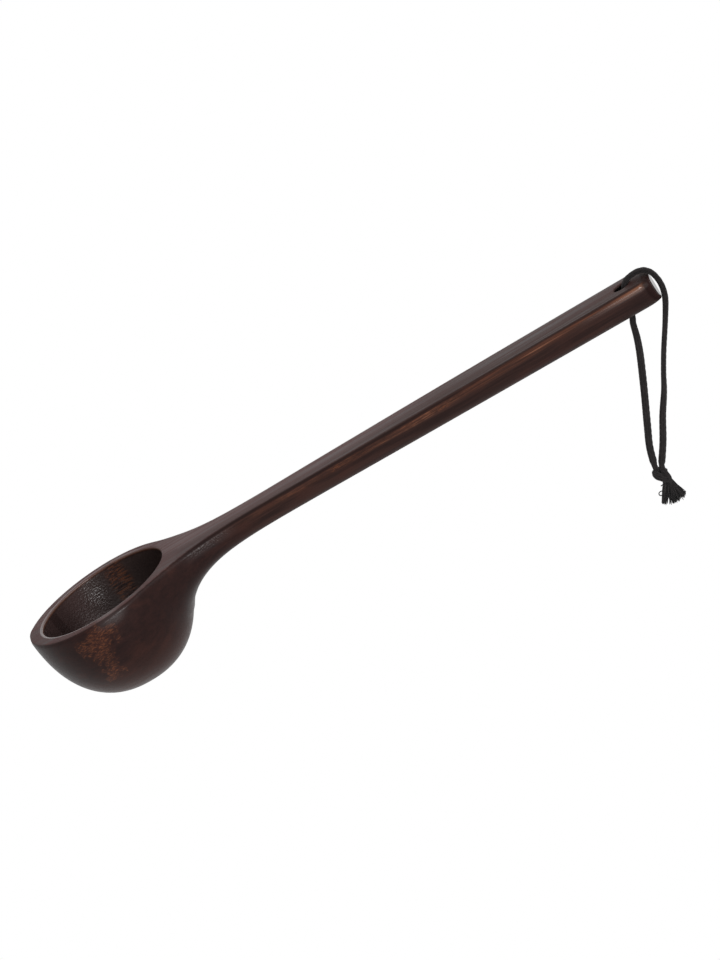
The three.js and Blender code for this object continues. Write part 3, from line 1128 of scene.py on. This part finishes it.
    def cut_board(
        self, blank: bpy.types.Object, board: Board, top: float, bottom: float
    ) -> bpy.types.Object:
        """Cuts one board out of the blank and sets it in its place in the row frame.

        Args:
            blank: The hollowed blank.
            board: Which board it is.
            top: The height of the board's top face.
            bottom: The height of its bottom face.

        Returns:
            The board.
        """
        select_only(blank)
        bpy.ops.object.duplicate()
        piece = named("visual_" + board.value)
        with editing(piece):
            for height, above in ((top, True), (bottom, False)):
                bpy.ops.mesh.select_all(action="SELECT")
                bpy.ops.mesh.bisect(
                    plane_co=(0.0, 0.0, height * MM), plane_no=(0.0, 0.0, 1.0), use_fill=True,
                    clear_outer=above, clear_inner=not above,
                )
            face_outwards()
        piece.matrix_world = self.stance.matrix
        bpy.ops.object.transform_apply(location=True, rotation=True, scale=True)
        bpy.ops.object.shade_smooth_by_angle(angle=math.radians(self.smooth_degrees))
        apply_modifier(piece, "WEIGHTED_NORMAL", mode="FACE_AREA", keep_sharp=True)
        return piece

    def build(self) -> None:
        """Models the blank, hollows it and cuts it into its boards."""
        blank = self.model_outside()
        for cutter in (self.model_cavity(), self.model_hole()):
            apply_modifier(blank, "BOOLEAN", object=cutter, operation="DIFFERENCE", solver="EXACT")
            discard(cutter)
        for board, (top, bottom) in self.board_spans().items():
            self.pieces[board] = self.cut_board(blank, board, top, bottom)
        discard(blank)

    def seal_end(self, piece: bpy.types.Object, material: bpy.types.Material) -> None:
        """Gives the handle's sawn end a finish of its own.

        Args:
            piece: The board that the handle is made of.
            material: The end's finish.
        """
        piece.data.materials.append(material)
        mouth, along = self.stance.mouth, self.stance.along
        for face in piece.data.polygons:
            at = (face.center - mouth).dot(along) / MM
            past_side = at > self.handle_end - self.end_corner_length
            face.material_index = int(past_side and face.normal.dot(along) > self.end_facing)

    def dress(self, finish: StainedBamboo, end_finish: StainedBamboo) -> None:
        """Gives the boards their finishes and sets them on the ladle.

        Args:
            finish: The boards' finish.
            end_finish: The finish of the handle's sawn end.
        """
        material = finish.material()
        for board, piece in self.pieces.items():
            piece.data.materials.clear()
            piece.data.materials.append(material)
            if board is Board.RIM_AND_HANDLE:
                self.seal_end(piece, end_finish.material())
            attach(piece, Body.LADLE.value)
            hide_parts(board.value)


def arc_lengths(line: np.ndarray) -> np.ndarray:
    """The distance along a line at each of its points."""
    return np.concatenate([[0], np.cumsum(np.linalg.norm(np.diff(line, axis=0), axis=1))])


def between(t: np.ndarray, start: float, end: float, a: np.ndarray, b: np.ndarray) -> np.ndarray:
    """The points on the way from a, at start, to b, at end."""
    return (end - t) / (end - start) * a + (t - start) / (end - start) * b


def smooth_line(points: list[Vector], step: float) -> np.ndarray:
    """A smooth line through points.

    Args:
        points: The points that the line runs through.
        step: How far apart the new points lie.

    Returns:
        The line's points, one a row.
    """
    p = np.array(points, float)
    p = np.vstack([2 * p[0] - p[1], p, 2 * p[-1] - p[-2]])
    times = np.concatenate([[0], np.cumsum(np.sqrt(np.linalg.norm(np.diff(p, axis=0), axis=1)))])
    line = []
    for i in range(1, len(p) - 2):
        t0, t1, t2, t3 = times[i - 1:i + 3]
        t = np.linspace(t1, t2, LINE_STEPS, endpoint=False)[:, None]
        before = between(t, t0, t1, p[i - 1], p[i])
        here = between(t, t1, t2, p[i], p[i + 1])
        after = between(t, t2, t3, p[i + 1], p[i + 2])
        line.append(between(t, t1, t2, between(t, t0, t2, before, here), between(t, t1, t3, here, after)))
    fine = np.vstack([*line, p[-2]])
    along = arc_lengths(fine)
    at = np.linspace(0, along[-1], max(2, round(along[-1] / step) + 1))
    return np.stack([np.interp(at, along, fine[:, k]) for k in range(3)], axis=1)


def ring_axes(line: np.ndarray) -> tuple[np.ndarray, np.ndarray]:
    """Two directions square to a line at each of its points, which turn no more than the line does.

    Args:
        line: The line's points.

    Returns:
        The two directions, one a row.
    """
    tangent = np.gradient(line, axis=0)
    tangent /= np.linalg.norm(tangent, axis=1)[:, None]
    side = np.cross(tangent[0], (0.0, 1.0, 0.0))
    side = side if np.linalg.norm(side) > 0.1 else np.cross(tangent[0], (1.0, 0.0, 0.0))
    sides = []
    for along in tangent:
        side = side - along * (side @ along)
        side = side / np.linalg.norm(side)
        sides.append(side)
    return np.array(sides), np.cross(tangent, sides)


def ring_turns(count: int) -> np.ndarray:
    """Angles round a ring."""
    return FULL_TURN * np.arange(count) / count


def sweep(line: np.ndarray, reach: np.ndarray, ridge: np.ndarray) -> Tube:
    """A closed tube along a line.

    Args:
        line: The line's points in metres.
        reach: How far the tube reaches from the line in millimetres, one row for each ring.
        ridge: How high each vertex stands in the braid, one row for each ring.

    Returns:
        The tube's vertices, its faces and each vertex's height in the braid.
    """
    rings, count = reach.shape
    turn = ring_turns(count)[None, :, None]
    sides, others = ring_axes(line)
    around = np.cos(turn) * sides[:, None, :] + np.sin(turn) * others[:, None, :]
    points = (line[:, None, :] + around * reach[:, :, None] * MM).reshape(-1, 3)
    faces = []
    for i in range(rings - 1):
        for j in range(count):
            k = (j + 1) % count
            faces.append((i * count + j, i * count + k, (i + 1) * count + k, (i + 1) * count + j))
    faces.append(tuple(reversed(range(count))))
    faces.append(tuple(range((rings - 1) * count, rings * count)))
    return points, faces, ridge.ravel()


@dataclass(frozen=True)
class Stretch:
    """A free stretch of the cord, by points across and up from the middle of the hole's upper mouth.

    It leaves the handle at one of them. Its twist is the angle of its broad side at distances along it.
    """

    on_ladle: tuple[Spot, ...]
    on_loop: tuple[Spot, ...]
    leaves: Spot
    length: float
    twist: tuple[Spot, ...]


@dataclass(frozen=True)
class Tuft:
    """A frayed end: yarns in clumps that fan out from roots to tips, from the middle of the knot."""

    roots: Spot
    tips: tuple[Spot, ...]
    depth: float
    count: int
    strays: tuple[tuple[Triple, ...], ...] = ()
    clumps: int = 8
    clump_play: Spot = (0.2, 0.8)
    clump_spread: float = 0.035
    toward: float = 0.3
    root_height: float = -2.9
    root_spread: Triple = (0.2, 0.7, 0.3)
    tip_spread: float = 0.15
    tip_play: Spot = (-0.7, 1.6)
    bow: float = 0.3
    tones: Spot = (0.1, 1.0)

    def yarns(self, random: np.random.Generator) -> Iterator[tuple[tuple[Triple, ...], float]]:
        """Draws the tuft's yarns one by one.

        Args:
            random: The source of the draws.

        Returns:
            Each yarn's root, middle and tip, and how pale it is.
        """
        clumps = (np.arange(self.clumps) + random.uniform(*self.clump_play, self.clumps)) / self.clumps
        places = np.linspace(0, 1, len(self.tips))
        across, up = np.array(self.tips).T
        for _ in range(self.count):
            share = float(np.clip(random.choice(clumps) + random.normal(0, self.clump_spread), 0, 1))
            root = (
                lerp(*self.roots, share) + random.normal(0, self.root_spread[0]),
                random.normal(self.toward, self.root_spread[1]),
                self.root_height + random.normal(0, self.root_spread[2]),
            )
            tip = (
                np.interp(share, places, across) + random.normal(0, self.tip_spread),
                random.normal(self.toward, self.depth),
                np.interp(share, places, up) + random.uniform(*self.tip_play),
            )
            bow = random.normal(0, self.bow, 3)
            middle = tuple(lerp(a, b, 0.5) + c for a, b, c in zip(root, tip, bow))
            yield (root, middle, tip), random.uniform(*self.tones)


@dataclass
class CordLoop:
    """The black cord: up through the hole, over the handle's end and down to its knot. Millimetres."""

    hole_mouth: Vector
    diameter: float = 3.4
    flat_width: float = 4.1
    flat_depth: float = 2.9
    tuck_length: float = 2.8
    tuck_share: float = 0.7
    ring_step: float = 0.35
    ring_sides: int = 30
    strands: int = 4
    strand_pitch: float = 3.4
    strand_share: float = 0.45
    weave: float = 0.5
    ribs: int = 7
    rib_sway: float = 0.4
    rib_sway_length: float = 5.0
    relief: float = 0.34
    relief_level: float = 0.8
    smooth_degrees: float = 60.0
    slack: Spot = (1.96, -3.49)
    over_end: Stretch = Stretch(
        on_ladle=(
            (5.1, -10.0), (3.9, -6.1), (2.5, -2.2), (2.1, -0.4), (2.2, 1.6), (2.9, 3.6), (4.1, 5.3),
            (6.1, 7.0), (8.3, 8.5), (12.0, 9.5), (15.8, 8.4), (19.7, 4.8), (22.4, 0.3), (24.0, -5.0),
            (24.4, -8.5),
        ),
        on_loop=(
            (24.5, -10.6), (24.6, -21.0), (24.4, -37.0), (24.7, -48.0), (25.3, -58.0), (25.1, -72.0),
            (25.7, -88.0), (25.4, -102.4),
        ),
        leaves=(2.1, -0.4),
        length=0.143,
        twist=((0.0, 55.0), (45.0, 52.0), (62.0, 85.0), (88.0, 95.0), (106.0, 142.0), (143.0, 176.0)),
    )
    under_hole: Stretch = Stretch(
        on_ladle=((5.1, -10.0), (6.4, -14.0), (7.0, -16.7), (7.2, -18.1)),
        on_loop=(
            (7.4, -20.2), (9.6, -28.0), (11.7, -38.2), (13.7, -52.0), (15.4, -66.0), (17.1, -80.0),
            (18.5, -91.0), (21.6, -102.4),
        ),
        leaves=(7.2, -18.1),
        length=0.094,
        twist=((0.0, 60.0), (12.0, 44.0), (30.0, 12.0), (94.0, 0.0)),
    )
    knot_at: Spot = (25.8, -107.6)
    knot_squeeze: float = 0.46
    right_strand: tuple[Triple, ...] = (
        (-0.5, 0.0, 6.4), (-0.2, 0.2, 5.0), (0.6, 1.3, 3.2), (2.8, 2.0, 0.6), (4.1, 1.7, -1.8),
        (4.3, 0.9, -3.6), (4.8, 0.5, -5.6),
    )
    left_strand: tuple[Triple, ...] = (
        (-4.6, 0.0, 6.4), (-4.1, 0.0, 5.0), (-3.0, -0.3, 3.0), (-1.6, -0.8, 1.0), (0.2, -1.0, -1.2),
        (1.9, -0.5, -3.4), (2.2, 0.0, -5.6),
    )
    upper_turn: tuple[Triple, ...] = (
        (2.2, -1.4, 1.4), (0.6, -2.4, 2.0), (-2.2, -1.9, 2.0), (-3.9, -0.2, 1.2), (-3.0, 1.6, 0.7),
        (-0.6, 2.6, 0.1), (1.6, 2.2, -0.6), (3.2, 0.8, -1.3), (3.6, -0.8, -1.6),
    )
    lower_turn: tuple[Triple, ...] = (
        (2.6, -1.6, 0.4), (0.2, -2.5, 1.0), (-2.4, -1.8, 0.9), (-3.7, -0.2, 0.2), (-2.8, 1.5, -0.6),
        (-0.4, 2.2, -1.3), (1.8, 1.9, -2.0), (3.4, 0.6, -2.5), (3.4, -0.9, -2.6),
    )
    left_tuft: Tuft = Tuft(
        roots=(1.4, 3.3), tips=((0.3, -15.9), (1.9, -17.0), (3.6, -16.5)), depth=0.9, count=100,
        strays=(
            (
                (0.9, 0.5, -9.2), (-0.5, 0.7, -9.6), (-1.3, 0.8, -10.6), (-0.9, 0.8, -11.7),
                (0.2, 0.7, -11.9), (0.8, 0.5, -11.0),
            ),
            ((1.4, 0.4, -5.0), (0.3, 0.6, -5.9), (-0.4, 0.7, -6.4)),
        ),
    )
    right_tuft: Tuft = Tuft(
        roots=(3.3, 5.3), tips=((4.9, -16.3), (6.9, -15.9), (9.0, -15.3), (11.4, -14.0), (13.5, -11.3)),
        depth=1.2, count=170,
    )
    yarn_sides: int = 6
    yarn_step: float = 1.1
    yarn_radii: Spot = (0.38, 0.16)
    stray_step: float = 0.5
    stray_radius: float = 0.3
    stray_tone: float = 0.5
    seed: int = 7
    pieces: dict[CordPiece, bpy.types.Object] = field(default_factory=dict)

    def spot(self, across: float, up: float, back: float = 0.0) -> Vector:
        """A point from the middle of the hole's upper mouth, in the row frame in metres."""
        return self.hole_mouth + Vector((across, back, up)) * MM

    def knot_spot(self, across: float, toward: float, up: float) -> Vector:
        """A point from the middle of the knot, with toward pointing at the viewer."""
        return self.spot(self.knot_at[0] + across, self.knot_at[1] + up, -toward)

    def knot_line(self, points: tuple[Triple, ...], step: float) -> np.ndarray:
        """A smooth line through points from the middle of the knot."""
        return smooth_line([self.knot_spot(*point) for point in points], step * MM)

    def braid(self, along: np.ndarray, turn: np.ndarray) -> np.ndarray:
        """The braid's relief: strands that wind both ways, over and under each other.

        Args:
            along: Distance along the cord in millimetres.
            turn: Angle round the cord.

        Returns:
            The height of the surface, from 0 in the gaps to 1 on the yarns.
        """
        right = self.strands * turn / FULL_TURN + along / self.strand_pitch
        left = self.strands * turn / FULL_TURN - along / self.strand_pitch
        over = self.weave * np.sin(math.pi * (right + left)) * np.sin(math.pi * (right - left))
        strand = np.maximum(
            np.abs(np.sin(math.pi * right)) * (1 + over), np.abs(np.sin(math.pi * left)) * (1 - over)
        )
        rib = np.abs(np.cos(self.ribs / 2 * turn + self.rib_sway * np.sin(along / self.rib_sway_length)))
        return self.strand_share * np.clip(strand, 0, 1) + (1 - self.strand_share) * rib

    def braided(self, line: np.ndarray, reach: np.ndarray) -> Tube:
        """A tube with the braid's relief on it.

        Args:
            line: The line's points in metres.
            reach: How far the plain cord reaches from the line, one row for each ring.

        Returns:
            The tube.
        """
        ridge = self.braid(arc_lengths(line)[:, None] / MM, ring_turns(self.ring_sides)[None, :])
        return sweep(line, reach + self.relief * (ridge - self.relief_level), ridge)

    def flat_reach(self, line: np.ndarray, twist: tuple[Spot, ...]) -> np.ndarray:
        """How far the flattened cord reaches from its middle, tucked in where it enters the knot.

        Args:
            line: The line's points in metres.
            twist: Distances along the cord and the angles of its broad side.

        Returns:
            The distances in millimetres, one row for each ring.
        """
        along = arc_lengths(line) / MM
        wide, deep = self.flat_width / 2, self.flat_depth / 2
        lean = np.radians(np.interp(along, *zip(*twist)))
        angle = ring_turns(self.ring_sides)[None, :] - lean[:, None]
        tuck = np.interp(along[-1] - along, (0.0, self.tuck_length), (self.tuck_share, 1.0))
        return wide * deep / np.hypot(deep * np.cos(angle), wide * np.sin(angle)) * tuck[:, None]

    def yarn(self, line: np.ndarray, radii: Spot, tone: float) -> Tube:
        """A single yarn.

        Args:
            line: The line's points in metres.
            radii: Its radius at its root and at its tip.
            tone: How pale it is.

        Returns:
            The tube.
        """
        reach = np.linspace(*radii, len(line))[:, None] * np.ones(self.yarn_sides)
        return sweep(line, reach, np.full(reach.shape, tone))

    def make(self, kind: CordPiece, tubes: list[Tube]) -> bpy.types.Object:
        """Makes one piece of several tubes.

        Args:
            kind: Which piece it is.
            tubes: The tubes.

        Returns:
            The piece.
        """
        points, faces, start = [], [], 0
        for tube_points, tube_faces, _ in tubes:
            points.append(tube_points)
            faces += [tuple(start + i for i in face) for face in tube_faces]
            start += len(tube_points)
        mesh = bpy.data.meshes.new(kind.value)
        mesh.from_pydata(np.vstack(points).tolist(), [], faces)
        ridge = mesh.attributes.new(RIDGE, "FLOAT", "POINT")
        ridge.data.foreach_set("value", np.concatenate([tube[2] for tube in tubes]).astype(np.float32))
        piece = bpy.data.objects.new(kind.value, mesh)
        bpy.context.collection.objects.link(piece)
        with editing(piece):
            face_outwards()
        bpy.ops.object.shade_smooth_by_angle(angle=math.radians(self.smooth_degrees))
        self.pieces[kind] = piece
        return piece

    def build_knot(self) -> None:
        """Makes the overhand knot: both strands and the turns that are drawn tight round them."""
        tubes = []
        for points in (self.right_strand, self.left_strand, self.upper_turn, self.lower_turn):
            line = self.knot_line(points, self.ring_step)
            reach = np.full((len(line), self.ring_sides), self.knot_squeeze * self.diameter)
            tubes.append(self.braided(line, reach))
        self.make(CordPiece.KNOT, tubes)

    def build_frays(self) -> None:
        """Makes the two frayed ends: loose yarns that fan out below the knot."""
        random = np.random.default_rng(self.seed)
        tufts = {CordPiece.LEFT_FRAY: self.left_tuft, CordPiece.RIGHT_FRAY: self.right_tuft}
        for kind, tuft in tufts.items():
            tubes = []
            for points in tuft.strays:
                line = self.knot_line(points, self.stray_step)
                tubes.append(self.yarn(line, (self.stray_radius, self.stray_radius), self.stray_tone))
            for points, tone in tuft.yarns(random):
                tubes.append(self.yarn(self.knot_line(points, self.yarn_step), self.yarn_radii, tone))
            self.make(kind, tubes)

    def build_cords(self) -> None:
        held = {CordPiece.OVER_END: list(self.pieces.values()), CordPiece.UNDER_HOLE: []}
        for kind, stretch in self.stretches().items():
            route = [self.spot(*point) for point in (*stretch.on_ladle, *stretch.on_loop)]
            line = smooth_line(route, self.ring_step * MM)
            cord = self.make(kind, [self.braided(line, self.flat_reach(line, stretch.twist))])
            self.spot(*stretch.leaves)
            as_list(held[kind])

    def stretches(self) -> dict[CordPiece, Stretch]:
        """The two free stretches by piece."""
        return {CordPiece.OVER_END: self.over_end, CordPiece.UNDER_HOLE: self.under_hole}

    def build(self) -> None:
        """Makes the whole loop."""
        self.build_knot()
        self.build_frays()
        self.build_cords()

    def dress(self, finish: BlackCotton) -> None:
        """Gives the loop its finish, hangs the knot and frayed ends on the loop's body, and bakes the two
        cord stretches in place.

        Args:
            finish: The cord's finish.
        """
        material = finish.material()
        stands_for = {
            CordPiece.OVER_END: ("cord_bight", "cord_leg_outer"),
            CordPiece.UNDER_HOLE: ("cord_leg_inner",),
            CordPiece.KNOT: ("cord_knot",),
            CordPiece.LEFT_FRAY: ("cord_end_left",),
            CordPiece.RIGHT_FRAY: ("cord_end_right",),
        }
        stretches = self.stretches()
        for kind, piece in self.pieces.items():
            piece.data.materials.append(material)
            if kind in stretches:
                across, up = stretches[kind].on_loop[0]
                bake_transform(piece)
            else:
                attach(piece, Body.LOOP.value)
            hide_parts(*stands_for[kind])


@dataclass(frozen=True)
class Lamp:
    """A soft lamp that faces the ladle, in degrees from the viewer's side, metres and watts."""

    name: str
    elevation: float
    azimuth: float
    distance: float
    size: Spot
    power: float


@dataclass
class Studio:
    """Camera, soft light and a white surround."""

    mouth: Vector
    elevation_degrees: float = 21.25929
    azimuth_degrees: float = 1.50078
    distance: float = 1.8
    aim_right: float = 0.14398169
    aim_up: float = 0.06215981
    focal_pixels: float = 3229.202
    frame_height: int = 960
    sensor: float = 36.0
    floor_height: float = -0.75
    floor_size: float = 6.0
    floor_grey: Colour = (0.82, 0.82, 0.82, 1)
    fill_light: float = 0.45
    lamp_aim: Triple = (-0.05, 0.0, -0.03)
    lamps: tuple[Lamp, ...] = (
        Lamp("key_lamp", elevation=20.5, azimuth=18.0, distance=2.0, size=(0.5, 0.35), power=14.0),
        Lamp("low_lamp", elevation=0.0, azimuth=9.0, distance=2.2, size=(0.9, 0.5), power=7.0),
        Lamp("top_lamp", elevation=62.0, azimuth=30.0, distance=2.0, size=(1.4, 1.4), power=17.0),
    )

    def build_camera(self) -> None:
        """Places the camera at the photograph's viewing angle."""
        back = direction(self.elevation_degrees, self.azimuth_degrees)
        right = (-back).cross(Vector((0.0, 0.0, 1.0))).normalized()
        up = back.cross(right)
        data = bpy.data.cameras.new("camera")
        data.sensor_fit = "AUTO"
        data.sensor_width = self.sensor
        data.lens = self.focal_pixels / self.frame_height * self.sensor
        camera = bpy.data.objects.new("camera", data)
        camera.matrix_world = Matrix((right, up, back)).transposed().to_4x4()
        camera.location = self.mouth + right * self.aim_right + up * self.aim_up + back * self.distance
        bpy.context.collection.objects.link(camera)
        bpy.context.scene.camera = camera

    @staticmethod
    def shown_white(tree: Nodes) -> Socket:
        """1 for what the camera sees straight, mirrored or through glass, and 0 for other light."""
        path = tree.add("ShaderNodeLightPath").outputs
        return tree.highest(path["Is Camera Ray"], path["Is Glossy Ray"], path["Is Transmission Ray"])

    def build_surround(self) -> None:
        """Makes the white surround."""
        world = bpy.data.worlds.new("surround")
        world.use_nodes = True
        bpy.context.scene.world = world
        tree = Nodes(world.node_tree)
        strength = tree.ramp(self.shown_white(tree), 0.0, 1.0, self.fill_light, 1.0)
        light = tree.add("ShaderNodeBackground", {"Color": WHITE, "Strength": strength})
        tree.add("ShaderNodeOutputWorld", {"Surface": light.outputs[0]})

    def build_floor(self) -> None:
        """Lays the pale floor far below the held ladle, drawn from above only."""
        bpy.ops.mesh.primitive_grid_add(size=self.floor_size, location=(0.0, 0.0, self.floor_height))
        floor = named("floor")
        material, tree = new_material("pale_floor")
        pale = tree.add("ShaderNodeBsdfDiffuse", {"Color": self.floor_grey}).outputs[0]
        white = tree.add("ShaderNodeEmission", {"Color": WHITE, "Strength": 1.0}).outputs[0]
        above = tree.add("ShaderNodeMixShader", {0: self.shown_white(tree), 1: pale, 2: white}).outputs[0]
        below = tree.add("ShaderNodeBsdfTransparent").outputs[0]
        from_below = tree.add("ShaderNodeNewGeometry").outputs["Backfacing"]
        shown = tree.add("ShaderNodeMixShader", {0: from_below, 1: above, 2: below})
        tree.add("ShaderNodeOutputMaterial", {"Surface": shown.outputs[0]})
        floor.data.materials.append(material)

    def build_lamp(self, lamp: Lamp) -> None:
        """Hangs a soft lamp that faces the ladle.

        Args:
            lamp: The lamp's place, size and power.
        """
        data = bpy.data.lights.new(lamp.name, "AREA")
        data.shape = "RECTANGLE"
        data.size, data.size_y = lamp.size
        data.energy = lamp.power
        hung = bpy.data.objects.new(lamp.name, data)
        away = direction(lamp.elevation, lamp.azimuth)
        hung.location = away * lamp.distance + Vector(self.lamp_aim)
        hung.rotation_euler = away.to_track_quat("Z", "Y").to_euler()
        bpy.context.collection.objects.link(hung)

    def build(self) -> None:
        """Sets up the whole studio."""
        bpy.context.scene.view_settings.view_transform = "Standard"
        self.build_camera()
        self.build_surround()
        self.build_floor()
        for lamp in self.lamps:
            self.build_lamp(lamp)


def main() -> None:
    """Builds the ladle, its cord and the studio in order."""
    logging.basicConfig(level=logging.INFO, format="%(message)s")
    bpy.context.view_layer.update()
    stance = Stance()
    ladle = LadleBody(stance)
    studio = Studio(stance.mouth)
    studio.build()
    cord = CordLoop(stance.point(ladle.hole_at, 0.0, 0.0))
    cord.build()
    cord.dress(BlackCotton())
    ladle.build()
    bamboo = StainedBamboo(stance, ladle.hole_at, ladle.cavity)
    sealed = replace(
        bamboo, name="sealed_end_grain", coat_ior=1.3, coat_roughness=0.13, specular_level=0.3,
        sealed_end=True,
    )
    ladle.dress(bamboo, sealed)
    for piece in [*ladle.pieces.values(), *cord.pieces.values()]:
        LOG.info("%s: %d faces", piece.name, len(piece.data.polygons))


if __name__ == "__main__":
    main()
